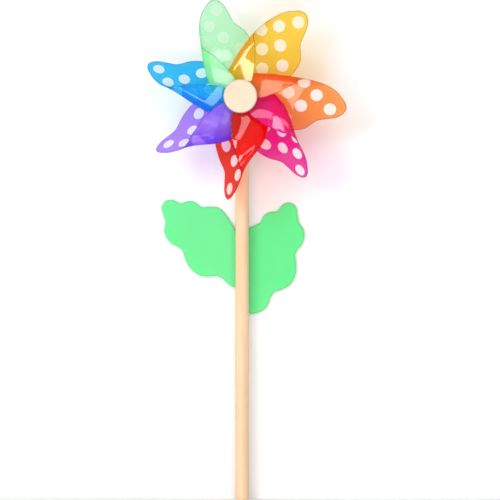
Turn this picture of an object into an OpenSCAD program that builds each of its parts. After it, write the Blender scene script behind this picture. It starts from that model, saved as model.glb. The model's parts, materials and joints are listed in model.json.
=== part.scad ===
// Toy pinwheel: seven folded plastic petals on a wooden stick with two plastic leaves.
// The origin is the centre of the stick's bottom face. +Z runs up the stick, the wheel faces -Y.

/* [Stick] */
// Diameter of the wooden stick
stick_d = 9.6; // [8:0.1:12]
// Length of the wooden stick
stick_length = 297; // [293:1:400]
// Bevel sanded on both ends of the stick
stick_bevel = 0.7; // [0.3:0.1:1.5]
// Height of the wheel's axle above the bottom of the stick
axle_z = 288; // [230:1:292]

/* [Axle and hub] */
// Diameter of the steel pin that carries the wheel
axle_d = 3; // [2.5:0.1:3.5]
// Radial clearance between the pin and the turning hub
running_gap = 0.05; // [0.03:0.01:0.08]
// Outer diameter of the hub tube that the petals are threaded on
hub_tube_d = 6; // [5.5:0.1:7]
// Outer diameter of the sleeve that holds the two ends of each petal apart
sleeve_d = 8; // [7.5:0.1:9]
// Diameter of the hub's end flanges
flange_d = 11; // [9:0.5:12]
// Diameter of the pin's head behind the stick
pin_head_d = 7; // [5:0.5:9]
// Distance from the stick's axis to the middle of the rear petal ends
wheel_offset = 21; // [20:0.5:30]
// Diameter of the wooden bead between the stick and the wheel
bead_d = 9; // [8:0.5:12]
// Diameter of the wooden disc on the front of the wheel
cap_d = 23.6; // [22:0.2:26]
// Thickness of the wooden disc
cap_thickness = 6; // [5:0.5:9]
// Rounding on the edge of the wooden disc
cap_round = 0.9; // [0.4:0.1:1.5]

/* [Petals] */
// Thickness of the petal sheet
sheet_thickness = 0.25; // [0.2:0.01:0.28]
// Axial step between one petal's end ring and the next
ring_pitch = 0.34; // [0.32:0.01:0.36]
// Outer diameter of the ring at each end of a petal
ring_d = 10.4; // [10:0.2:10.8]
// Tilt of the rear half of a petal before it turns over
rear_tilt = 8; // [6:1:10]
// Tilt of the front half of a petal after it has turned over
front_tilt = 15; // [12:1:16]
// Radius of the fold between the two halves
fold_radius = 3.5; // [3.2:0.1:3.8]
// Growth of the fold's radius at the middle of a petal's length, where the roll is widest
roll_growth = 2.6; // [0:0.1:3]
// Flat width between the axle line and the fold
fold_start = 15; // [14:0.5:15.5]

/* [Leaves] */
// Thickness of the leaves
leaf_thickness = 0.6; // [0.4:0.1:1]
// Height of the nail in the root of the right leaf
right_leaf_z = 156; // [140:1:160]
// Height of the nail in the root of the left leaf
left_leaf_z = 177; // [172:1:185]
// How far the left leaf leans out further than the right leaf
left_leaf_lean = 24.9; // [15:0.1:30]
// Diameter of the nails that hold the leaves
nail_d = 1.5; // [1.2:0.1:1.8]

/* [Hidden] */
$fn = 64;

// Petals in stacking order, the rearmost rear ring first. Each was formed by hand and differs a little.
// Each row: colour, direction from straight right, twist of the wing, reach along its direction,
// bulge of the fold side, then how much the flap has grown across the sheet and along the petal.
PETALS = [
    ["deepskyblue", 159, 38, 0.935, 0.8, 1, 1.18],
    ["palegreen", 105, 20, 0.965, 1.8, 0.9, 1],
    ["gold", 52.6, 4, 1, 2.2, 0.9, 1],
    ["darkorange", -6.5, 14, 0.995, 1.2, 0.9, 1],
    ["deeppink", -51.8, 46, 0.96, 3.5, 1.05, 1.12],
    ["red", -98.8, 54, 0.964, 5, 1.1, 1.25],
    ["mediumpurple", -149.5, 48, 0.94, 4.5, 1.05, 1.25]
];
petal_count = len(PETALS);
middle_petal = (petal_count - 1) / 2;

// Flat shape of a petal, as stations across the sheet.
// Each row: distance across from the axle line, inner edge, outer edge along the petal.
STATIONS = [
    [-19, 37.5, 40.5],
    [-18.5, 33.5, 44.5],
    [-16.8, 28, 48.6],
    [-13.8, 22.5, 52],
    [-10.4, 18.2, 56.4],
    [-8.6, 16.2, 63],
    [-6.8, 14.4, 69.3],
    [-3.9, 12.2, 73.4],
    [-1, 10.4, 75.2],
    [0.2, 4.4, 75.5],
    [2, 4, 75.4],
    [3.7, 3.9, 74.8],
    [5.6, 5.2, 73.8],
    [8.4, 7.2, 71.4],
    [12, 6.8, 67.8],
    [15, 6.2, 63],
    [17.4, 5.6, 56.5],
    [19.4, 5.2, 48],
    [21.4, 5, 41.5],
    [24.6, 5.2, 36],
    [28, 6, 31.4],
    [31.8, 7.2, 26.6],
    [34.8, 5.2, 22.4],
    [36.9, 3.9, 19.4],
    [38.6, 4, 16.8],
    [40.2, 4.4, 13.8],
    [41.3, 5.6, 10.4]
];
// Mesh density of a petal: strips across the sheet and cells along each strip
petal_strips = 38;
petal_cells = 9;
// Cells crowd towards the axle by this power
cell_power = 1.6;
// A petal's wing twists between these two distances from the axle
twist_from = 8;
twist_to = 58;
// Depth of the line that the wing twists about
twist_depth = 1.5;
// The roll and the fold side swell out between these two distances from the axle
swell_from = 4;
swell_to = 62;
// The flap's own length grows between these two distances across the sheet
grow_from = 16;
grow_to = 22;
// The petal is flat and parallel to its ring inside the first radius, fully formed from the second
flat_radius = 5.2;
formed_radius = 10.8;

// Distances across the sheet: where the fold ends, and its outermost line
fold_end = fold_start + fold_radius * (180 - front_tilt - rear_tilt) * PI / 180;
fold_side = fold_start + fold_radius * (90 - rear_tilt) * PI / 180;
// Depth at which the front half crosses the axle line
front_depth = section(fold_end, 0)[1] + section(fold_end, 0)[0] * tan(front_tilt);

// Axial places, measured forward from the middle of the rear rings
ring_thickness = 0.3;
ring_stack = middle_petal * ring_pitch + ring_thickness / 2;
stack_gap = 0.04;
flange_thickness = 1;
washer_thickness = 0.5;
washer_d = 9;
wheel_gap = 0.1;
flange_back = -ring_stack - stack_gap - flange_thickness;
collar_front = front_depth + ring_stack + stack_gap + flange_thickness;
rear_washer_back = flange_back - wheel_gap - washer_thickness;
front_washer_back = collar_front + wheel_gap;
cap_back = front_washer_back + washer_thickness;
cap_bore_depth = 4;
pin_head_thickness = 1.2;
// How much narrower the bead's end faces are than its middle
bead_end_cut = 1.6;
// Cutters reach this far past the faces that they open
extra = 1;

// Leaves lie flat against the back of the stick, the right one behind the left one
leaf_left_y = stick_d / 2;
leaf_right_y = leaf_left_y + leaf_thickness;
nail_head_d = 4;
nail_head_thickness = 0.7;
nail_head_bevel = 0.5;
nail_depth = 5;

// Outline of the right leaf around its upper nail, anticlockwise from the root's inner side
LEAF = [
    [1.6, -14], [-1.4, -7], [-2.8, 2], [-2.6, 16], [-1.6, 28], [0.8, 37],
    [7, 41], [12.6, 43.6], [15.4, 48.8], [20, 51.4], [25, 52],
    [29, 56.6], [34, 58.2], [38.6, 55.4], [39.8, 50], [40.8, 44],
    [44, 39.4], [44.7, 33.6], [43, 28], [39.6, 24], [38.2, 20],
    [38.9, 14], [38.4, 6.6], [35, -0.4], [29.6, -4], [23, -6.6],
    [20, -11], [17.6, -17], [12.6, -20.8], [6.8, -22.2], [4.5, -20.4]
];
leaf_steps = 3;

// Smooth curve through four neighbouring values
function curve(a, b, c, d, u) =
    0.5 * (2 * b + (c - a) * u + (2 * a - 5 * b + 4 * c - d) * u * u + (3 * b - a - 3 * c + d) * u * u * u);

// Value of an open list at a place between its rows
function clamped(list, i) = list[max(0, min(len(list) - 1, i))];
function along(list, k) =
    let (i = min(floor(k), len(list) - 2))
    curve(clamped(list, i - 1), list[i], list[i + 1], clamped(list, i + 2), k - i);

// Smooth closed outline through a list of points
function smooth_loop(list, steps) = [
    for (i = [0 : len(list) - 1], s = [0 : steps - 1])
        curve(
            list[(i + len(list) - 1) % len(list)],
            list[i],
            list[(i + 1) % len(list)],
            list[(i + 2) % len(list)],
            s / steps
        )
];

// Eased step from 0 to 1
function eased(x) = let (c = max(0, min(1, x))) c * c * (3 - 2 * c);

// Share of the swelling at a distance along a petal, from 0 up to 1 and back to 0
function swell(s) = sin(180 * max(0, min(1, (s - swell_from) / (swell_to - swell_from))));

// Side distance and depth of the rolled sheet, at a distance across it and along it
function section(w, s) =
    let (
        radius = fold_radius + roll_growth * swell(s),
        start = fold_start - (radius - fold_radius) * (1 - sin(rear_tilt)) / cos(rear_tilt),
        rear = w > 0 ? w * start / fold_start : w,
        angle = rear_tilt + (min(w, fold_end) - fold_start) / fold_radius * 180 / PI,
        past = max(w - fold_end, 0)
    )
    w <= fold_start ? rear * [cos(rear_tilt), sin(rear_tilt)] :
    start * [cos(rear_tilt), sin(rear_tilt)]
        + radius * [sin(angle) - sin(rear_tilt), cos(rear_tilt) - cos(angle)]
        + past * [-cos(front_tilt), sin(front_tilt)];

// Flat shape of petal i, with its own growth of the flap
function stations(i) = [
    for (row = STATIONS)
        let (longer = (PETALS[i][6] - 1) * eased((row[0] - grow_from) / (grow_to - grow_from)))
        [row[0] + (PETALS[i][5] - 1) * max(row[0] - fold_end, 0), row[1], row[2] * (1 + longer)]
];

// Axial step of petal i's rings from the middle petal's
function ring_step(i) = (i - middle_petal) * ring_pitch;

// Point of petal i in its own frame: along its direction, sideways, forward
function petal_point(i, w, s) =
    let (
        flat = section(w, s),
        across = flat[0] + PETALS[i][4] * swell(s) * pow(max(flat[0], 0) / fold_start, 2),
        turn = PETALS[i][2] * eased((s - twist_from) / (twist_to - twist_from)),
        side = across * cos(turn) - (flat[1] - twist_depth) * sin(turn),
        deep = across * sin(turn) + (flat[1] - twist_depth) * cos(turn) + twist_depth,
        level = w > fold_side ? front_depth - ring_step(i) : ring_step(i),
        formed = eased((norm([s, side]) - flat_radius) / (formed_radius - flat_radius)),
        reach = 1 + (PETALS[i][3] - 1) * eased((s - twist_from) / twist_from)
    )
    [s * reach, side, level * (1 - formed) + deep * formed];

// Centre surface of a petal at strip row j and cell row k
function petal_node(i, rows, j, k) =
    let (
        row = along(rows, j * (len(rows) - 1) / petal_strips),
        s = row[1] + (row[2] - row[1]) * pow(k / petal_cells, cell_power)
    )
    petal_point(i, row[0], s);

// Unit normal of the centre surface, from its neighbours
function petal_normal(grid, j, k) =
    let (
        a = grid[min(petal_strips, j + 1)][k] - grid[max(0, j - 1)][k],
        b = grid[j][min(petal_cells, k + 1)] - grid[j][max(0, k - 1)],
        n = cross(a, b)
    )
    n / norm(n);

// Turns a point of the petal's own frame into the part's frame
function petal_place(i, p) =
    let (a = PETALS[i][1])
    [
        p[0] * cos(a) - p[1] * sin(a),
        -wheel_offset - p[2],
        axle_z + p[0] * sin(a) + p[1] * cos(a)
    ];

// Petal i: a curved sheet with a ring at each end
module petal(i) {
    shape = stations(i);
    rows = petal_cells + 1;
    sheet = (petal_strips + 1) * rows;
    grid = [for (j = [0 : petal_strips]) [for (k = [0 : petal_cells]) petal_node(i, shape, j, k)]];
    points = [
        for (side = [1, -1], j = [0 : petal_strips], k = [0 : petal_cells])
            petal_place(i, grid[j][k] + side * sheet_thickness / 2 * petal_normal(grid, j, k))
    ];
    faces = [
        for (j = [0 : petal_strips - 1], k = [0 : petal_cells - 1])
            let (a = j * rows + k, b = a + rows)
            each [
                [a, a + 1, b + 1], [a, b + 1, b],
                [sheet + a, sheet + b + 1, sheet + a + 1], [sheet + a, sheet + b, sheet + b + 1]
            ],
        for (j = [0 : petal_strips - 1], edge = [0, petal_cells])
            let (a = j * rows + edge, b = a + rows)
            each edge == 0 ?
                [[a, b, sheet + b], [a, sheet + b, sheet + a]] :
                [[a, sheet + b, b], [a, sheet + a, sheet + b]],
        for (k = [0 : petal_cells - 1], edge = [0, petal_strips])
            let (a = edge * rows + k, b = a + 1)
            each edge == 0 ?
                [[a, sheet + b, b], [a, sheet + a, sheet + b]] :
                [[a, b, sheet + b], [a, sheet + b, sheet + a]]
    ];
    color(PETALS[i][0])
        difference() {
            union() {
                polyhedron(points, faces);
                for (level = [ring_step(i), front_depth - ring_step(i)])
                    on_axle(level - ring_thickness / 2)
                        cylinder(d = ring_d, h = ring_thickness);
            }
            on_axle(-ring_stack - extra)
                cylinder(d = hub_tube_d, h = front_depth + 2 * (ring_stack + extra));
        }
}

// Places a child on the axle, its +Z pointing forward, at a distance from the rear rings
module on_axle(forward) {
    translate([0, -wheel_offset - forward, axle_z])
        rotate([90, 0, 0])
            children();
}

// Wooden stick with its cross hole for the pin and two nail holes
module stick() {
    color("burlywood")
        difference() {
            union() {
                translate([0, 0, stick_bevel])
                    cylinder(d = stick_d, h = stick_length - 2 * stick_bevel);
                cylinder(d1 = stick_d - 2 * stick_bevel, d2 = stick_d, h = stick_bevel);
                translate([0, 0, stick_length - stick_bevel])
                    cylinder(d1 = stick_d, d2 = stick_d - 2 * stick_bevel, h = stick_bevel);
            }
            on_axle(-wheel_offset - stick_d)
                cylinder(d = axle_d, h = 2 * stick_d);
            for (z = [right_leaf_z, left_leaf_z])
                translate([0, stick_d / 2 - nail_depth, z])
                    rotate([-90, 0, 0])
                        cylinder(d = nail_d, h = nail_depth + extra);
        }
}

// Steel pin with a flat round head, from behind the stick into the wooden disc
module axle_pin() {
    color("silver") {
        on_axle(-wheel_offset - stick_d / 2)
            cylinder(d = axle_d, h = wheel_offset + stick_d / 2 + cap_back + cap_bore_depth);
        on_axle(-wheel_offset - stick_d / 2 - pin_head_thickness)
            cylinder(d = pin_head_d, h = pin_head_thickness);
    }
}

// Plain ring on the axle
module axle_ring(outer_d, hole_d, back, thickness) {
    on_axle(back)
        difference() {
            cylinder(d = outer_d, h = thickness);
            translate([0, 0, -extra])
                cylinder(d = hole_d, h = thickness + 2 * extra);
        }
}

// Wooden bead that keeps the wheel clear of the stick
module rear_bead() {
    length = wheel_offset - stick_d / 2 + rear_washer_back;
    color("burlywood")
        on_axle(rear_washer_back - length)
            difference() {
                intersection() {
                    cylinder(d = bead_d, h = length);
                    translate([0, 0, length / 2])
                        sphere(d = norm([length, bead_d - bead_end_cut]));
                }
                translate([0, 0, -extra])
                    cylinder(d = axle_d, h = length + 2 * extra);
            }
}

module rear_washer() {
    color("white")
        axle_ring(washer_d, axle_d, rear_washer_back, washer_thickness);
}

module front_washer() {
    color("white")
        axle_ring(washer_d, axle_d, front_washer_back, washer_thickness);
}

// Turning tube with a flange behind the rear rings
module hub_tube() {
    color("white")
        difference() {
            union() {
                on_axle(flange_back)
                    cylinder(d = flange_d, h = flange_thickness);
                on_axle(flange_back)
                    cylinder(d = hub_tube_d, h = collar_front - flange_back);
            }
            on_axle(flange_back - extra)
                cylinder(d = axle_d + 2 * running_gap, h = collar_front - flange_back + 2 * extra);
        }
}

// Sleeve that holds the rear and front rings apart
module hub_sleeve() {
    back = ring_stack + stack_gap;
    color("whitesmoke")
        axle_ring(sleeve_d, hub_tube_d, back, front_depth - 2 * back);
}

// Collar pressed on the front of the hub tube
module hub_collar() {
    color("white")
        axle_ring(flange_d, hub_tube_d, collar_front - flange_thickness, flange_thickness);
}

// Wooden disc on the front end of the pin
module front_cap() {
    color("blanchedalmond")
        on_axle(cap_back)
            difference() {
                rotate_extrude()
                    hull() {
                        square([cap_d / 2 - cap_round, cap_thickness]);
                        for (h = [cap_round, cap_thickness - cap_round])
                            translate([cap_d / 2 - cap_round, h])
                                circle(r = cap_round);
                    }
                translate([0, 0, -extra])
                    cylinder(d = axle_d, h = cap_bore_depth + extra);
            }
}

// Scalloped leaf plate around its own nail, with a hole for the other leaf's nail
module leaf_plate(other_nail) {
    rotate([90, 0, 0])
        translate([0, 0, -leaf_thickness])
            linear_extrude(leaf_thickness)
                difference() {
                    polygon(smooth_loop(LEAF, leaf_steps));
                    circle(d = nail_d);
                    translate(other_nail)
                        circle(d = nail_d);
                }
}

module leaf_right() {
    color("palegreen")
        translate([0, leaf_right_y, right_leaf_z])
            leaf_plate([0, left_leaf_z - right_leaf_z]);
}

// The left leaf is the same plate turned over and leaned out
module leaf_left() {
    drop = left_leaf_z - right_leaf_z;
    color("palegreen")
        translate([0, leaf_left_y, left_leaf_z])
            mirror([1, 0, 0])
                rotate([0, left_leaf_lean, 0])
                    leaf_plate(drop * [sin(left_leaf_lean), -cos(left_leaf_lean)]);
}

// Two round-headed nails through both leaves into the stick
module leaf_nails() {
    shank = nail_depth + 2 * leaf_thickness;
    color("silver")
        for (z = [right_leaf_z, left_leaf_z])
            translate([0, stick_d / 2 - nail_depth, z])
                rotate([-90, 0, 0]) {
                    cylinder(d = nail_d, h = shank);
                    translate([0, 0, shank])
                        cylinder(
                            d1 = nail_head_d,
                            d2 = nail_head_d - 2 * nail_head_bevel,
                            h = nail_head_thickness
                        );
                }
}

stick();
axle_pin();
rear_bead();
rear_washer();
hub_tube();
hub_sleeve();
hub_collar();
petal(0);  // petal_blue
petal(1);  // petal_green
petal(2);  // petal_yellow
petal(3);  // petal_orange
petal(4);  // petal_pink
petal(5);  // petal_red
petal(6);  // petal_purple
front_washer();
front_cap();
leaf_left();
leaf_right();
leaf_nails();
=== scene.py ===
"""Looks of a toy pinwheel: film petals with printed dots, wood grain, plastic leaves, soft light.

Lengths are in millimetres until a mesh or light is made, where MM turns them into metres.
"""
import json
import math

import bpy
import numpy as np
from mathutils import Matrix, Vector


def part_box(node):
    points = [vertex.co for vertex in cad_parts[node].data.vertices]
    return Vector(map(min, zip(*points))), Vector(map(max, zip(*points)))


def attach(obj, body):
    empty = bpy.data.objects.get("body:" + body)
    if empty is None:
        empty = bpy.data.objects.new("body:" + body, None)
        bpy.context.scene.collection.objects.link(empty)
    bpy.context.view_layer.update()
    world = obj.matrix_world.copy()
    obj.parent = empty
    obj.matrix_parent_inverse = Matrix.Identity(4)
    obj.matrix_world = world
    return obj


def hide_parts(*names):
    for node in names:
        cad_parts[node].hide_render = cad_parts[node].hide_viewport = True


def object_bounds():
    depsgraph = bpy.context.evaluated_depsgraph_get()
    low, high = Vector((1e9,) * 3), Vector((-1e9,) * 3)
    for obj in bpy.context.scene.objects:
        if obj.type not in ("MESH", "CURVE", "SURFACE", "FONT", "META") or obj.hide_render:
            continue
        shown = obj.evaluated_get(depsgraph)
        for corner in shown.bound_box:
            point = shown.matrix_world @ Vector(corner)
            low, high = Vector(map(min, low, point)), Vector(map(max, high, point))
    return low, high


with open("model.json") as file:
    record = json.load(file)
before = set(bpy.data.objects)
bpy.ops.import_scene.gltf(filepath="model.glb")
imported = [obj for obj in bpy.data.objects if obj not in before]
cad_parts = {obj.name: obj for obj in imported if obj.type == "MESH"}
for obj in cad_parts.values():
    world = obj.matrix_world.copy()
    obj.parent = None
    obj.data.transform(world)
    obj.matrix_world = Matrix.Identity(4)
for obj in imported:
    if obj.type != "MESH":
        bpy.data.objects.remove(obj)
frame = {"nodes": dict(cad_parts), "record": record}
CAD_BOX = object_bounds()
MM = 0.001

# ---------------------------------------------------------------- driving dimensions

SPIN = next(j for j in frame["record"]["behaviour"]["joints"] if j["name"] == "wheel_spin")
AXLE_Z = SPIN["pos_m"][2] / MM
WHEEL_OFFSET = -SPIN["pos_m"][1] / MM
CAP_LOW, CAP_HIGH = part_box("front_cap")
CAP_RADIUS = (CAP_HIGH[0] - CAP_LOW[0]) / 2 / MM
CAP_ROUND = 0.9

# The petals' sheet, end rings, section and twist, the same as in the CAD model
SHEET_THICKNESS = 0.25
RING_PITCH = 0.34
RING_RADIUS = 5.2
RING_THICKNESS = 0.3
HUB_TUBE_RADIUS = 3.0
REAR_TILT = math.radians(8)
FRONT_TILT = math.radians(15)
FOLD_RADIUS = 3.5
FOLD_START = 15.0
TWIST_FROM, TWIST_TO = 8.0, 58.0
TWIST_DEPTH = 1.5
FLAT_RADIUS, FORMED_RADIUS = 5.2, 10.8
SWELL_FROM, SWELL_TO = 4.0, 62.0
ROLL_GROWTH = 2.6
GROW_FROM, GROW_TO = 16.0, 22.0
# Mesh density: strips across a petal and cells along each strip, crowded towards the axle by a power
STRIPS, CELLS = 150, 56
CELL_POWER = 1.6
# Distance from the fold's outermost line within which shade is painted into the film, darker and deeper in
# colour
FOLD_SHADE_WIDTH = 7.0
# Stands for the edge distance on the end rings, where the film has no darker rim
FAR_FROM_EDGE = 5.0

# Each petal's direction and twist in degrees, reach, bulge of its fold, growth of its flap across and along
PETALS = [
    ("blue", 159, 38, 0.935, 0.8, 1.0, 1.18),
    ("green", 105, 20, 0.965, 1.8, 0.9, 1.0),
    ("yellow", 52.6, 4, 1.0, 2.2, 0.9, 1.0),
    ("orange", -6.5, 14, 0.995, 1.2, 0.9, 1.0),
    ("pink", -51.8, 46, 0.96, 3.5, 1.05, 1.12),
    ("red", -98.8, 54, 0.964, 5.0, 1.1, 1.25),
    ("purple", -149.5, 48, 0.94, 4.5, 1.05, 1.25),
]
MIDDLE_PETAL = (len(PETALS) - 1) / 2

# Each petal's shift of the print across and along, strength of the print, milkiness and gloss of the sheet,
# the linear colour that it gives to light passing through it and the linear colour of its own body
FILMS = {
    "blue": ((0.9, -1.0), 1.0, 0.5, 1.0, (0.07, 0.72, 1.0), (0.006, 0.50, 1.0)),
    "green": ((0.0, 0.0), 0.35, 0.6, 1.0, (0.66, 1.0, 0.74), (0.62, 1.0, 0.70)),
    "yellow": ((0.0, 0.0), 0.85, 0.5, 1.0, (1.0, 0.80, 0.15), (1.0, 0.68, 0.035)),
    "orange": ((-1.5, -3.5), 1.0, 0.5, 0.9, (1.0, 0.54, 0.20), (1.0, 0.36, 0.07)),
    "pink": ((0.0, 1.5), 1.0, 0.5, 0.8, (0.96, 0.07, 0.56), (0.95, 0.02, 0.42)),
    "red": ((1.0, 0.0), 0.9, 0.5, 1.0, (1.0, 0.06, 0.02), (1.0, 0.022, 0.006)),
    "purple": ((1.2, -2.5), 1.0, 0.65, 0.35, (0.62, 0.42, 0.98), (0.50, 0.28, 0.92)),
}
# What a printed dot lets through where its shadow falls
DOT_SHADOW = (0.55, 0.55, 0.55, 1)
# Share of a shadow ray that passes as through clear film, so that the shadows stay coloured and soft
SHADOW_THINNING = 0.7

# Flat shape of a petal: distance across from the axle line, inner edge, outer edge
STATIONS = np.array([
    (-19, 37.5, 40.5), (-18.5, 33.5, 44.5), (-16.8, 28, 48.6), (-13.8, 22.5, 52),
    (-10.4, 18.2, 56.4), (-8.6, 16.2, 63), (-6.8, 14.4, 69.3), (-3.9, 12.2, 73.4),
    (-1, 10.4, 75.2), (0.2, 4.4, 75.5), (2, 4, 75.4), (3.7, 3.9, 74.8),
    (5.6, 5.2, 73.8), (8.4, 7.2, 71.4), (12, 6.8, 67.8), (15, 6.2, 63),
    (17.4, 5.6, 56.5), (19.4, 5.2, 48), (21.4, 5, 41.5), (24.6, 5.2, 36),
    (28, 6, 31.4), (31.8, 7.2, 26.6), (34.8, 5.2, 22.4), (36.9, 3.9, 19.4),
    (38.6, 4, 16.8), (40.2, 4.4, 13.8), (41.3, 5.6, 10.4),
])

# Printed dots: a staggered grid, (across, along) from the axle, laid out in UV units of 100 mm
PRINT_UNIT = 100
DOT_RADIUS = 4.4
DOT_EDGE = 0.25
# A place on the print's grid that no dot reaches
UNPRINTED = 90.0
DOTS = [(0.3, 67.4), (9.6, 56.8), (0.6, 46.6), (18.3, 47.0), (-9.4, 36.2), (9.4, 36.6), (0.8, 25.8)]

# Outline of the right leaf around its upper nail
LEAF = np.array([
    (1.6, -14), (-1.4, -7), (-2.8, 2), (-2.6, 16), (-1.6, 28), (0.8, 37),
    (7, 41), (12.6, 43.6), (15.4, 48.8), (20, 51.4), (25, 52),
    (29, 56.6), (34, 58.2), (38.6, 55.4), (39.8, 50), (40.8, 44),
    (44, 39.4), (44.7, 33.6), (43, 28), (39.6, 24), (38.2, 20),
    (38.9, 14), (38.4, 6.6), (35, -0.4), (29.6, -4), (23, -6.6),
    (20, -11), (17.6, -17), (12.6, -20.8), (6.8, -22.2), (4.5, -20.4),
])
LEAF_CENTRE = np.array((19.0, 16.0))
LEAF_STEPS = 10
# Rings of the leaf's mesh, as shares of the way from its centre to its outline, closest at the edge
LEAF_RINGS = np.concatenate([np.linspace(0.04, 0.97, 26), [0.99, 1.0]])
# Share of the thickness left at the cut edge
LEAF_EDGE = 0.45
# The leaf is flat behind the stick, out to the first distance, and reaches to the second
STICK_SIDE, LEAF_REACH = 6.0, 44.0
# Forward bow of each leaf's far end, and the depth of the ripple along it and its length for one radian
LEFT_LEAF_BOW, RIGHT_LEAF_BOW = 2.6, 0.91
LEAF_RIPPLE, RIPPLE_LENGTH = 0.5, 17.0
RIGHT_LEAF_Z, LEFT_LEAF_Z = 156.0, 177.0
LEFT_LEAF_LEAN = math.radians(24.9)


# ---------------------------------------------------------------- curves

def curve(a, b, c, d, u):
    """Smooth value between b and c, with a and d as their neighbours."""
    square, cube = 2 * a - 5 * b + 4 * c - d, 3 * b - a - 3 * c + d
    return 0.5 * (2 * b + (c - a) * u + square * u ** 2 + cube * u ** 3)


def along(rows, k):
    """Smooth row of an open table at place k."""
    i = min(int(k), len(rows) - 2)
    last = len(rows) - 1
    return curve(rows[max(i - 1, 0)], rows[i], rows[i + 1], rows[min(i + 2, last)], k - i)


def smooth_loop(rows, steps):
    """Smooth closed outline through the rows."""
    n = len(rows)
    return np.array([
        curve(rows[i - 1], rows[i], rows[(i + 1) % n], rows[(i + 2) % n], s / steps)
        for i in range(n) for s in range(steps)
    ])


def eased(x):
    """Smooth step from 0 to 1."""
    x = np.clip(x, 0, 1)
    return x * x * (3 - 2 * x)


# ---------------------------------------------------------------- meshes

def new_object(name, verts, faces, smooth=True):
    """Mesh object from vertices in millimetres."""
    mesh = bpy.data.meshes.new(name)
    mesh.from_pydata((np.asarray(verts) * MM).tolist(), [], faces)
    mesh.validate()
    mesh.update()
    for polygon in mesh.polygons:
        polygon.use_smooth = smooth
    obj = bpy.data.objects.new(name, mesh)
    bpy.context.scene.collection.objects.link(obj)
    return obj


def grid_faces(rows, cols, offset=0, flip=False, closed=False):
    """Quads over a grid of rows by cols vertices, joined end to start if closed."""
    faces = []
    for i in range(rows if closed else rows - 1):
        for j in range(cols - 1):
            a = offset + i * cols + j
            b = offset + (i + 1) % rows * cols + j
            quad = (a, a + 1, b + 1, b)
            faces.append(quad[::-1] if flip else quad)
    return faces


def edge_loop(rows, cols):
    """Vertices round the border of a grid, in order."""
    loop = [i * cols for i in range(rows)]
    loop += [(rows - 1) * cols + j for j in range(1, cols)]
    loop += [i * cols + cols - 1 for i in range(rows - 2, -1, -1)]
    loop += list(range(cols - 2, 0, -1))
    return loop


def edge_distance(points, edge):
    """Distance of each flat point from the nearest point of the edge."""
    return np.array([np.hypot(*(edge - point).T).min() for point in points])


def point_attribute(obj, name, values):
    """Stores one number for each vertex, for a material to read."""
    obj.data.attributes.new(name, "FLOAT", "POINT").data.foreach_set("value", np.asarray(values, np.float32))


# ---------------------------------------------------------------- petals

# Distances across the sheet to the fold's end and to its outermost line
FOLD_END = FOLD_START + FOLD_RADIUS * (math.pi - FRONT_TILT - REAR_TILT)
FOLD_SIDE = FOLD_START + FOLD_RADIUS * (math.pi / 2 - REAR_TILT)
# Where the fold ends beside the axle, and the depth at which the flap crosses the axle line
FOLD_END_SIDE = FOLD_START * math.cos(REAR_TILT) + FOLD_RADIUS * (math.sin(FRONT_TILT) - math.sin(REAR_TILT))
FOLD_END_DEPTH = FOLD_START * math.sin(REAR_TILT) + FOLD_RADIUS * (math.cos(REAR_TILT) + math.cos(FRONT_TILT))
FRONT_DEPTH = FOLD_END_DEPTH + FOLD_END_SIDE * math.tan(FRONT_TILT)


def swell(s):
    """Rises from 0 near the axle to 1 at mid length and back to 0 where the fold ends."""
    return np.sin(math.pi * np.clip((s - SWELL_FROM) / (SWELL_TO - SWELL_FROM), 0, 1))


def section(w, s):
    """Side distance and depth of the rolled sheet at distance w across it and s along it."""
    radius = FOLD_RADIUS + ROLL_GROWTH * swell(s)
    start = FOLD_START - (radius - FOLD_RADIUS) * (1 - math.sin(REAR_TILT)) / math.cos(REAR_TILT)
    if w <= FOLD_START:
        reach = w * start / FOLD_START if w > 0 else w
        return reach * math.cos(REAR_TILT), reach * math.sin(REAR_TILT)
    past = max(w - FOLD_END, 0)
    a = REAR_TILT + (min(w, FOLD_END) - FOLD_START) / FOLD_RADIUS
    side = start * math.cos(REAR_TILT) + radius * (math.sin(a) - math.sin(REAR_TILT))
    depth = start * math.sin(REAR_TILT) + radius * (math.cos(REAR_TILT) - math.cos(a))
    return side - past * math.cos(FRONT_TILT), depth + past * math.sin(FRONT_TILT)


def stations(i):
    """Flat shape of petal i, with its own growth of the flap."""
    rows = STATIONS.copy()
    across, along_petal = PETALS[i][5], PETALS[i][6]
    rows[:, 2] *= 1 + (along_petal - 1) * eased((rows[:, 0] - GROW_FROM) / (GROW_TO - GROW_FROM))
    rows[:, 0] += (across - 1) * np.maximum(rows[:, 0] - FOLD_END, 0)
    return rows


def bulged(i, t, s):
    """Side distance t with petal i's own bulge of the fold side."""
    return t + PETALS[i][4] * swell(s) * (np.maximum(t, 0) / FOLD_START) ** 2


def print_across(i, w, s):
    """Where the print lies across the sheet: the same as the side distance, so that the dots stay round."""
    if w > FOLD_START:
        return np.full_like(s, w)
    return bulged(i, section(w, s)[0], s) / math.cos(REAR_TILT)


def petal_point(i, w, s):
    """Centre surface of petal i: along its direction, sideways, forward. s is an array."""
    twist, reach = math.radians(PETALS[i][2]), PETALS[i][3]
    t, d = section(w, s)
    t = bulged(i, t, s)
    turn = twist * eased((s - TWIST_FROM) / (TWIST_TO - TWIST_FROM))
    side = t * np.cos(turn) - (d - TWIST_DEPTH) * np.sin(turn)
    deep = t * np.sin(turn) + (d - TWIST_DEPTH) * np.cos(turn) + TWIST_DEPTH
    step = (i - MIDDLE_PETAL) * RING_PITCH
    level = FRONT_DEPTH - step if w > FOLD_SIDE else step
    formed = eased((np.hypot(s, side) - FLAT_RADIUS) / (FORMED_RADIUS - FLAT_RADIUS))
    stretch = 1 + (reach - 1) * eased((s - TWIST_FROM) / TWIST_FROM)
    return np.stack([s * stretch, side, level * (1 - formed) + deep * formed], -1)


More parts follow.
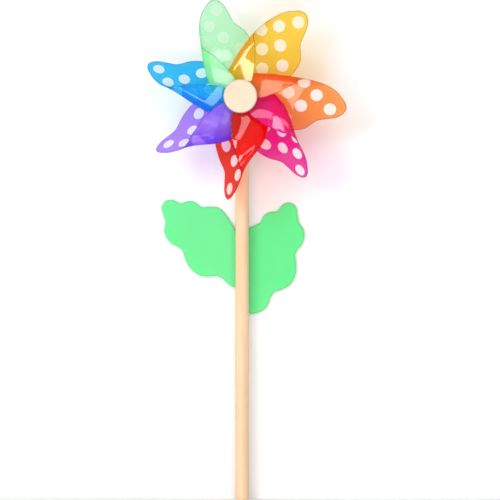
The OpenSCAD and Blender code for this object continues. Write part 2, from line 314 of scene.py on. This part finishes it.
def petal_place(i, points):
    """From a petal's own frame to the part's frame."""
    a = math.radians(PETALS[i][1])
    s, t, d = points[..., 0], points[..., 1], points[..., 2]
    return np.stack([
        s * math.cos(a) - t * math.sin(a), -WHEEL_OFFSET - d, AXLE_Z + s * math.sin(a) + t * math.cos(a)
    ], -1)


def ring(level, sides=48):
    """Closed flat ring round the axle in a petal's own frame, as vertices and faces."""
    profile = [(HUB_TUBE_RADIUS, -1), (RING_RADIUS, -1), (RING_RADIUS, 1), (HUB_TUBE_RADIUS, 1)]
    angles = [2 * math.pi * k / sides for k in range(sides)]
    verts = [
        (r * math.cos(a), r * math.sin(a), level + side * RING_THICKNESS / 2)
        for a in angles for r, side in profile
    ]
    faces = [
        (4 * k + m, 4 * ((k + 1) % sides) + m, 4 * ((k + 1) % sides) + (m + 1) % 4, 4 * k + (m + 1) % 4)
        for k in range(sides) for m in range(4)
    ]
    return np.array(verts), faces


def petal(i):
    """Petal i as one thin closed sheet with its two end rings, replacing the CAD petal."""
    name = "petal_" + PETALS[i][0]
    places = np.linspace(0, len(STATIONS) - 1, STRIPS + 1)
    spread = np.linspace(0, 1, CELLS + 1) ** CELL_POWER
    rows = [along(stations(i), k) for k in places]
    across = np.array([[row[0]] * (CELLS + 1) for row in rows])
    length = np.array([row[1] + (row[2] - row[1]) * spread for row in rows])
    centre = np.array([petal_point(i, row[0], s) for row, s in zip(rows, length)])
    normal = np.cross(np.gradient(centre, axis=0), np.gradient(centre, axis=1))
    normal /= np.linalg.norm(normal, axis=-1, keepdims=True)
    verts = [(centre + side * SHEET_THICKNESS / 2 * normal).reshape(-1, 3) for side in (1, -1)]
    grid = centre.shape[:2]
    count = grid[0] * grid[1]
    edge = edge_loop(*grid)
    faces = grid_faces(*grid, flip=True) + grid_faces(*grid, offset=count)
    faces += [(a, count + a, count + b, b) for a, b in zip(edge, edge[1:] + edge[:1])]
    flat = np.stack([across.reshape(-1), length.reshape(-1)], -1)
    rim = edge_distance(flat, flat[edge])
    printed = np.array([print_across(i, row[0], s) for row, s in zip(rows, length)])
    step = (i - MIDDLE_PETAL) * RING_PITCH
    total = 2 * count
    for level in (step, FRONT_DEPTH - step):
        ring_verts, ring_faces = ring(level)
        verts.append(ring_verts)
        faces += [tuple(total + k for k in face) for face in ring_faces]
        total += len(ring_verts)
    extra = total - 2 * count
    obj = new_object(name + "_film", petal_place(i, np.concatenate(verts)), faces)
    point_attribute(obj, "rim", np.concatenate([rim, rim, np.full(extra, FAR_FROM_EDGE)]))
    # Painted shade along the fold: strongest at the fold's outermost line and at mid length, none near the
    # axle and the tip
    rolled = np.clip(1 - np.abs(across.reshape(-1) - FOLD_SIDE) / FOLD_SHADE_WIDTH, 0, 1)
    rolled *= swell(length.reshape(-1)) ** 0.5
    point_attribute(obj, "rolled", np.concatenate([rolled, rolled, np.zeros(extra)]))
    point_attribute(obj, "printed", np.concatenate([np.zeros(count), np.ones(count), np.zeros(extra)]))
    flat_uv = np.stack([printed.reshape(-1), length.reshape(-1)], -1)
    flat_uv = np.concatenate([flat_uv, flat_uv, np.full((extra, 2), UNPRINTED)])
    layer = obj.data.uv_layers.new(name="print")
    for loop in obj.data.loops:
        layer.data[loop.index].uv = flat_uv[loop.vertex_index] / PRINT_UNIT
    obj.data.materials.append(film_material(name, *FILMS[PETALS[i][0]]))
    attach(obj, "wheel")
    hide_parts(name)
    return obj


# ---------------------------------------------------------------- node helpers

class Nodes:
    """Short calls for building a material's node tree."""

    def __init__(self, name):
        self.material = bpy.data.materials.new(name)
        self.material.use_nodes = True
        self.tree = self.material.node_tree
        self.tree.nodes.clear()

    def add(self, kind, **inputs):
        """New node. An input is set by its name with spaces as underscores, from a value or a socket."""
        node = self.tree.nodes.new(kind)
        for key, value in inputs.items():
            self.set(node, key.replace("_", " "), value)
        return node

    def set(self, node, key, value):
        socket = node.inputs[key]
        if isinstance(value, bpy.types.NodeSocket):
            self.tree.links.new(value, socket)
        else:
            socket.default_value = value

    def offset(self, vector, origin):
        """The vector measured from a fixed origin."""
        node = self.tree.nodes.new("ShaderNodeVectorMath")
        node.operation = "SUBTRACT"
        self.tree.links.new(vector, node.inputs[0])
        node.inputs[1].default_value = origin
        return node.outputs[0]

    def math(self, operation, a, b=0.0, clamp=False):
        node = self.tree.nodes.new("ShaderNodeMath")
        node.operation = operation
        node.use_clamp = clamp
        self.set(node, 0, a)
        self.set(node, 1, b)
        return node.outputs[0]

    def mix_colour(self, factor, a, b):
        node = self.tree.nodes.new("ShaderNodeMix")
        node.data_type = "RGBA"
        self.set(node, 0, factor)
        self.set(node, 6, a)
        self.set(node, 7, b)
        return node.outputs[2]

    def mix_shader(self, factor, a, b):
        node = self.tree.nodes.new("ShaderNodeMixShader")
        self.set(node, 0, factor)
        self.tree.links.new(a, node.inputs[1])
        self.tree.links.new(b, node.inputs[2])
        return node.outputs[0]

    def ramp(self, factor, stops):
        node = self.tree.nodes.new("ShaderNodeValToRGB")
        self.set(node, 0, factor)
        elements = node.color_ramp.elements
        while len(elements) < len(stops):
            elements.new(0.5)
        for element, (place, colour) in zip(elements, stops):
            element.position = place
            element.color = (*colour, 1)
        return node.outputs[0]

    def attribute(self, name):
        node = self.tree.nodes.new("ShaderNodeAttribute")
        node.attribute_name = name
        return node.outputs["Fac"]

    def noise(self, vector, scale, detail=3.0, roughness=0.5):
        node = self.add("ShaderNodeTexNoise", Vector=vector, Scale=scale, Detail=detail, Roughness=roughness)
        return node.outputs[0]

    def finish(self, surface):
        output = self.tree.nodes.new("ShaderNodeOutputMaterial")
        self.tree.links.new(surface, output.inputs["Surface"])
        return self.material


def rgba(colour):
    """Opaque colour with its alpha."""
    return (*colour, 1.0)


# ---------------------------------------------------------------- materials

def printed_ink(n, shift, strength):
    """How much ink covers the sheet: full inside the dots of the printed side, with a soft edge."""
    uv = n.add("ShaderNodeUVMap")
    uv.uv_map = "print"
    nearest = None
    for across, along_petal in DOTS:
        gap = n.tree.nodes.new("ShaderNodeVectorMath")
        gap.operation = "DISTANCE"
        n.tree.links.new(uv.outputs[0], gap.inputs[0])
        centre = ((across + shift[0]) / PRINT_UNIT, (along_petal + shift[1]) / PRINT_UNIT, 0)
        gap.inputs[1].default_value = centre
        distance = gap.outputs["Value"]
        nearest = distance if nearest is None else n.math("MINIMUM", nearest, distance)
    inside = n.math("SUBTRACT", DOT_RADIUS / PRINT_UNIT, nearest)
    dot = n.math("ADD", n.math("MULTIPLY", inside, PRINT_UNIT / DOT_EDGE), 0.5, clamp=True)
    return n.math("MULTIPLY", dot, n.math("MULTIPLY", n.attribute("printed"), strength))


def scatter(n, through, colour):
    """Matt surface that lets a share of the light through."""
    return n.mix_shader(
        through,
        n.add("ShaderNodeBsdfDiffuse", Color=colour).outputs[0],
        n.add("ShaderNodeBsdfTranslucent", Color=colour).outputs[0])


def film_material(name, shift, print_strength, milky, glossy, tint, body):
    """Thin tinted film that multiplies the light behind it, with white printed dots and a glossy face."""
    n = Nodes(name)
    ink = printed_ink(n, shift, print_strength)
    place = n.add("ShaderNodeTexCoord").outputs["Object"]
    cloud = n.noise(place, 45.0, 2.0)
    rim = n.math("MULTIPLY", n.attribute("rim"), 1.6, clamp=True)
    # Painted shade along the fold: both the light let through and the body are drawn darker and deeper in
    # colour there
    rolled = n.math("MULTIPLY", n.attribute("rolled"), 1.3, clamp=True)
    # Light crosses both faces of the sheet, so each takes the root of the tint
    sheet = tuple(math.sqrt(c) for c in tint)
    dense = tuple(0.90 * c for c in sheet)
    edge = tuple(0.5 * c for c in sheet)
    passed = n.mix_colour(n.math("MULTIPLY", cloud, 0.5), rgba(sheet), rgba(dense))
    passed = n.mix_colour(rolled, passed, rgba(tuple(c ** 0.85 for c in tint)))
    passed = n.mix_colour(rim, rgba(edge), passed)
    clear = n.add("ShaderNodeBsdfTransparent", Color=passed)
    solid = n.mix_colour(rolled, rgba(body), rgba(tuple(c ** 1.7 for c in body)))
    solid = n.mix_colour(rim, rgba(tuple(0.45 * c for c in body)), solid)
    film = n.mix_shader(1 - math.sqrt(1 - milky), clear.outputs[0], scatter(n, 0.27, solid))
    # The ink takes a little of the film's colour and is not quite opaque
    ink_colour = tuple(0.90 + 0.08 * c for c in body)
    speckled = tuple(0.96 * c for c in ink_colour)
    white = n.mix_colour(n.noise(place, 2500.0, 2.0), rgba(speckled), rgba(ink_colour))
    thin = n.add("ShaderNodeBsdfTransparent", Color=(0.95, 0.95, 0.95, 1))
    paint = n.mix_shader(0.93, thin.outputs[0], scatter(n, 0.2, white))
    surface = n.mix_shader(ink, film, paint)
    # Gloss grows at a slant and is weaker on the ink
    facing = n.add("ShaderNodeLayerWeight", Blend=0.5).outputs["Facing"]
    gloss = n.math("ADD", n.math("MULTIPLY", n.math("POWER", facing, 4.0), 0.6 * glossy), 0.05 * glossy)
    gloss = n.math("MULTIPLY", gloss, n.math("SUBTRACT", 1.0, n.math("MULTIPLY", ink, 0.6)))
    streak = n.math("ADD", n.math("MULTIPLY", n.noise(place, 160.0, 2.0), 0.05), 0.02)
    shine = n.add("ShaderNodeBsdfGlossy", Color=(1, 1, 1, 1), Roughness=streak)
    seen = n.mix_shader(gloss, surface, shine.outputs[0])
    dot_shadow = n.add("ShaderNodeBsdfTransparent", Color=DOT_SHADOW)
    cast = n.mix_shader(n.math("MULTIPLY", ink, 0.6), clear.outputs[0], dot_shadow.outputs[0])
    shadow = n.add("ShaderNodeLightPath").outputs["Is Shadow Ray"]
    return n.finish(n.mix_shader(n.math("MULTIPLY", shadow, SHADOW_THINNING), seen, cast))


def wood_material(name, light, dark, axis, ring_scale, fibre_scale, rough=0.55):
    """Pale wood: slow bands of colour and fine fibres, both drawn out along the grain axis."""
    n = Nodes(name)
    place = n.add("ShaderNodeTexCoord").outputs["Object"]
    stretch = [1.0, 1.0, 1.0]
    stretch[axis] = 0.045
    drawn = n.add("ShaderNodeMapping", Vector=place, Scale=stretch).outputs[0]
    bands = n.noise(drawn, ring_scale, 3.0, 0.55)
    fibre = n.noise(drawn, fibre_scale, 4.0, 0.7)
    pores = n.math("GREATER_THAN", n.noise(drawn, fibre_scale * 1.7, 2.0, 0.5), 0.66)
    tone = n.math("ADD", n.math("MULTIPLY", bands, 0.75), n.math("MULTIPLY", fibre, 0.35))
    middle = tuple((a + b) / 2 for a, b in zip(light, dark))
    colour = n.ramp(tone, [(0.30, light), (0.55, middle), (0.80, dark)])
    colour = n.mix_colour(n.math("MULTIPLY", pores, 0.22), colour, rgba(tuple(c * 0.72 for c in dark)))
    shader = n.add("ShaderNodeBsdfPrincipled", Base_Color=colour)
    shader.inputs["IOR"].default_value = 1.45
    n.set(shader, "Roughness", n.math("ADD", n.math("MULTIPLY", fibre, 0.2), rough - 0.1))
    bump = n.add("ShaderNodeBump", Height=n.math("SUBTRACT", fibre, n.math("MULTIPLY", pores, 0.5)))
    bump.inputs["Strength"].default_value = 0.25
    bump.inputs["Distance"].default_value = 0.08 * MM
    n.set(shader, "Normal", bump.outputs[0])
    return n.finish(shader.outputs[0])


def end_grain_material(name, light, dark):
    """Fine turned wood of the front disc: faint growth rings off centre, sanding marks, and painted shade
    that darkens its rounded rim.
    """
    n = Nodes(name)
    place = n.add("ShaderNodeTexCoord").outputs["Object"]
    tree_heart = n.offset(place, (55 * MM, 0, (AXLE_Z + 20) * MM))
    wave = n.add("ShaderNodeTexWave", Vector=tree_heart, Scale=45.0, Distortion=6.0, Detail=3.0)
    wave.wave_type = "RINGS"
    wave.rings_direction = "Y"
    wave.inputs["Detail Scale"].default_value = 1.5
    speck = n.noise(place, 1600.0, 3.0, 0.65)
    cloud = n.noise(place, 60.0, 2.0)
    tone = n.math("ADD", n.math("MULTIPLY", wave.outputs[1], 0.06), n.math("MULTIPLY", speck, 0.44))
    tone = n.math("ADD", tone, n.math("MULTIPLY", cloud, 0.5))
    colour = n.ramp(tone, [(0.25, light), (0.85, dark)])
    # Painted shade: the colour turns dark beyond the start of the disc's rounded rim, standing in for the
    # rim's shading and the shadow line round the disc
    split = n.add("ShaderNodeSeparateXYZ", Vector=n.offset(place, (0, 0, AXLE_Z * MM)))
    squares = [n.math("POWER", split.outputs[axis], 2.0) for axis in (0, 2)]
    radius = n.math("SQRT", n.math("ADD", *squares))
    painted_rim_shade = n.math("MULTIPLY", n.math("SUBTRACT", radius, (CAP_RADIUS - CAP_ROUND) * MM), 900.0, clamp=True)
    colour = n.mix_colour(n.math("MULTIPLY", painted_rim_shade, 0.8), colour, rgba(tuple(c * 0.5 for c in dark)))
    shader = n.add("ShaderNodeBsdfPrincipled", Base_Color=colour)
    n.set(shader, "Roughness", n.math("ADD", n.math("MULTIPLY", speck, 0.2), 0.42))
    bump = n.add("ShaderNodeBump", Height=speck)
    bump.inputs["Strength"].default_value = 0.15
    bump.inputs["Distance"].default_value = 0.06 * MM
    n.set(shader, "Normal", bump.outputs[0])
    return n.finish(shader.outputs[0])


def leaf_material(name, tint):
    """Bright green translucent sheet, satin on its face, a little denser towards the cut edge."""
    n = Nodes(name)
    place = n.add("ShaderNodeTexCoord").outputs["Object"]
    cloud = n.noise(place, 35.0, 2.0)
    rim = n.math("MULTIPLY", n.attribute("rim"), 0.8, clamp=True)
    deep = tuple(c * 0.95 for c in tint)
    colour = n.mix_colour(n.math("MULTIPLY", cloud, 0.6), rgba(tint), rgba(deep))
    colour = n.mix_colour(rim, rgba(tuple(c * 0.8 for c in tint)), colour)
    clear = n.add("ShaderNodeBsdfTransparent", Color=colour)
    body = n.mix_shader(0.72, clear.outputs[0], scatter(n, 0.25, colour))
    facing = n.add("ShaderNodeLayerWeight", Blend=0.5).outputs["Facing"]
    gloss = n.math("ADD", n.math("MULTIPLY", n.math("POWER", facing, 4.0), 0.4), 0.035)
    fine = n.math("ADD", n.math("MULTIPLY", n.noise(place, 900.0, 2.0), 0.15), 0.25)
    shine = n.add("ShaderNodeBsdfGlossy", Color=(1, 1, 1, 1), Roughness=fine)
    return n.finish(n.mix_shader(gloss, body, shine.outputs[0]))


def moulded_material(name, colour, rough):
    """Plain moulded plastic with a faint mottled sheen."""
    n = Nodes(name)
    place = n.add("ShaderNodeTexCoord").outputs["Object"]
    mottle = n.noise(place, 700.0, 3.0)
    shade = n.mix_colour(mottle, rgba(colour), rgba(tuple(c * 0.9 for c in colour)))
    shader = n.add("ShaderNodeBsdfPrincipled", Base_Color=shade)
    n.set(shader, "Roughness", n.math("ADD", n.math("MULTIPLY", mottle, 0.2), rough))
    return n.finish(shader.outputs[0])


def steel_material(name):
    """Drawn steel wire with fine lines round it."""
    n = Nodes(name)
    place = n.add("ShaderNodeTexCoord").outputs["Object"]
    drawn = n.add("ShaderNodeMapping", Vector=place, Scale=(1.0, 12.0, 1.0)).outputs[0]
    lines = n.noise(drawn, 1200.0, 3.0)
    shade = n.mix_colour(lines, (0.55, 0.55, 0.56, 1), (0.72, 0.72, 0.73, 1))
    shader = n.add("ShaderNodeBsdfPrincipled", Base_Color=shade, Metallic=1.0)
    n.set(shader, "Roughness", n.math("ADD", n.math("MULTIPLY", lines, 0.2), 0.25))
    return n.finish(shader.outputs[0])


# ---------------------------------------------------------------- leaves

def leaf(name, left):
    """Scalloped leaf sheet, gently bowed, with rounded cut edges."""
    loop = smooth_loop(LEAF, LEAF_STEPS)
    flat = np.array([[LEAF_CENTRE + r * (p - LEAF_CENTRE) for r in LEAF_RINGS] for p in loop])
    low, high = [np.array(corner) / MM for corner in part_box(name)]
    middle = (low[1] + high[1]) / 2
    half = np.full(len(LEAF_RINGS), (high[1] - low[1]) / 2)
    half[-1] *= LEAF_EDGE
    away = np.clip((flat[..., 0] - STICK_SIDE) / (LEAF_REACH - STICK_SIDE), 0, None)
    ripple = LEAF_RIPPLE * np.sin(flat[..., 1] / RIPPLE_LENGTH) * away
    bow = ripple - (LEFT_LEAF_BOW if left else RIGHT_LEAF_BOW) * away ** 2
    verts = [
        np.stack([flat[..., 0], middle + bow + side * half, flat[..., 1]], -1).reshape(-1, 3)
        for side in (-1, 1)
    ]
    cols = len(LEAF_RINGS)
    count = len(loop) * cols
    faces = grid_faces(len(loop), cols, flip=True, closed=True)
    faces += grid_faces(len(loop), cols, offset=count, closed=True)
    outer = [k * cols + cols - 1 for k in range(len(loop))]
    faces += [(a, b, count + b, count + a) for a, b in zip(outer, outer[1:] + outer[:1])]
    for offset in (0, count):
        middle_face = tuple(offset + k * cols for k in range(len(loop)))
        faces.append(middle_face[::-1] if offset == 0 else middle_face)
    points = np.concatenate(verts)
    if left:
        c, s = math.cos(LEFT_LEAF_LEAN), math.sin(LEFT_LEAF_LEAN)
        x, z = points[:, 0].copy(), points[:, 2].copy()
        points[:, 0] = -(c * x + s * z)
        points[:, 2] = -s * x + c * z + LEFT_LEAF_Z
        faces = [face[::-1] for face in faces]
    else:
        points[:, 2] += RIGHT_LEAF_Z
    rim = edge_distance(flat.reshape(-1, 2), loop)
    obj = new_object(name + "_sheet", points, faces)
    point_attribute(obj, "rim", np.concatenate([rim, rim]))
    obj.data.materials.append(leaf_material(name, (0.25, 1.0, 0.47) if left else (0.20, 1.0, 0.41)))
    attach(obj, "frame")
    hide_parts(name)
    return obj


# ---------------------------------------------------------------- stage

def stage_material(name, colour, one_sided=False):
    """Matt paint. One-sided, it is clear from behind, so that the object can be seen from there."""
    n = Nodes(name)
    place = n.add("ShaderNodeTexCoord").outputs["Object"]
    shade = n.mix_colour(n.noise(place, 8.0, 2.0), rgba(colour), rgba(tuple(c * 0.995 for c in colour)))
    surface = n.add("ShaderNodeBsdfDiffuse", Color=shade).outputs[0]
    if one_sided:
        back = n.add("ShaderNodeNewGeometry").outputs["Backfacing"]
        clear = n.add("ShaderNodeBsdfTransparent", Color=(1, 1, 1, 1))
        surface = n.mix_shader(back, surface, clear.outputs[0])
    return n.finish(surface)


def plane(name, corners, material):
    """Flat piece of the stage, which the films don't mirror."""
    obj = new_object(name, corners, [(0, 1, 2, 3)], smooth=False)
    obj.data.materials.append(material)
    obj.visible_glossy = False
    return obj


# The lamps round the wheel: place, width and height in metres, and brightness
LAMPS = [
    ("key_light", (-0.92, -1.12, 0.70), 0.58, 0.66, 7.7),
    ("top_light", (0.03, -1.24, 0.99), 1.25, 0.33, 3.3),
    ("right_light", (0.76, -1.18, 0.32), 0.22, 0.80, 3.3),
    ("low_light", (0.0, -0.50, 0.07), 0.44, 0.12, 3.3),
]
SKY_BRIGHTNESS = 0.31
PALE_PAINT = (0.93, 0.93, 0.93)
# Half the floor's width, and the gap between the object's rear and the backdrop
FLOOR_REACH, WALL_GAP = 3000, 0.4


def softbox(name, place, width, height, brightness):
    """Rectangular lamp aimed at the wheel."""
    lamp = bpy.data.lights.new(name, "AREA")
    lamp.shape = "RECTANGLE"
    lamp.size, lamp.size_y = width, height
    lamp.energy = brightness * math.pi * width * height
    obj = bpy.data.objects.new(name, lamp)
    obj.location = place
    aim = Vector((0, -WHEEL_OFFSET * MM, AXLE_Z * MM)) - Vector(place)
    obj.rotation_euler = aim.to_track_quat("-Z", "Y").to_euler()
    obj.visible_camera = False
    bpy.context.scene.collection.objects.link(obj)
    return obj


def stage():
    """Pale floor and backdrop, an even sky and four soft lamps, the strongest from the upper left."""
    far, wall = FLOOR_REACH, CAD_BOX[1][1] / MM + WALL_GAP
    plane("floor", [(-far, -far, 0), (far, -far, 0), (far, far, 0), (-far, far, 0)],
          stage_material("floor_paint", PALE_PAINT))
    plane("backdrop", [(-far, wall, -1), (far, wall, -1), (far, wall, far), (-far, wall, far)],
          stage_material("backdrop_paint", PALE_PAINT, one_sided=True))
    world = bpy.data.worlds.new("studio")
    world.use_nodes = True
    world.node_tree.nodes["Background"].inputs[0].default_value = (1, 1, 1, 1)
    world.node_tree.nodes["Background"].inputs[1].default_value = SKY_BRIGHTNESS
    bpy.context.scene.world = world
    for lamp in LAMPS:
        softbox(*lamp)


def camera():
    """Long lens, almost straight in front and level with the middle of the stick's upper half."""
    distance, azimuth = 1500, math.radians(1.5)
    target = Vector((5.7, 0, 180)) * MM
    data = bpy.data.cameras.new("camera")
    data.sensor_width = 36
    data.lens = 149.7
    data.clip_end = 20
    obj = bpy.data.objects.new("camera", data)
    obj.location = target + Vector((math.sin(azimuth), -math.cos(azimuth), 0)) * distance * MM
    obj.rotation_euler = (target - obj.location).to_track_quat("-Z", "Y").to_euler()
    bpy.context.scene.collection.objects.link(obj)
    bpy.context.scene.camera = obj


# ---------------------------------------------------------------- build

def dress(node, material):
    """Gives a CAD node's own mesh its material."""
    obj = frame["nodes"][node]
    obj.data.materials.clear()
    obj.data.materials.append(material)


camera()
stage()
bpy.context.scene.view_settings.view_transform = "Standard"
bpy.context.scene.cycles.transparent_max_bounces = 48

stick_wood = wood_material("stick_wood", (0.96, 0.70, 0.45), (0.83, 0.53, 0.31), 2, 260.0, 2600.0)
cap_wood = end_grain_material("cap_wood", (0.86, 0.71, 0.53), (0.74, 0.58, 0.41))
steel = steel_material("steel")
white_plastic = moulded_material("white_plastic", (0.86, 0.86, 0.84), 0.3)
clear_plastic = moulded_material("clear_plastic", (0.80, 0.84, 0.86), 0.2)
dress("stick", stick_wood)
dress("rear_bead", stick_wood)
dress("front_cap", cap_wood)
dress("axle_pin", steel)
dress("leaf_nails", steel)
for node in ("rear_washer", "front_washer", "hub_tube", "hub_collar"):
    dress(node, white_plastic)
dress("hub_sleeve", clear_plastic)

for index in range(len(PETALS)):
    petal(index)
leaf("leaf_left", True)
leaf("leaf_right", False)
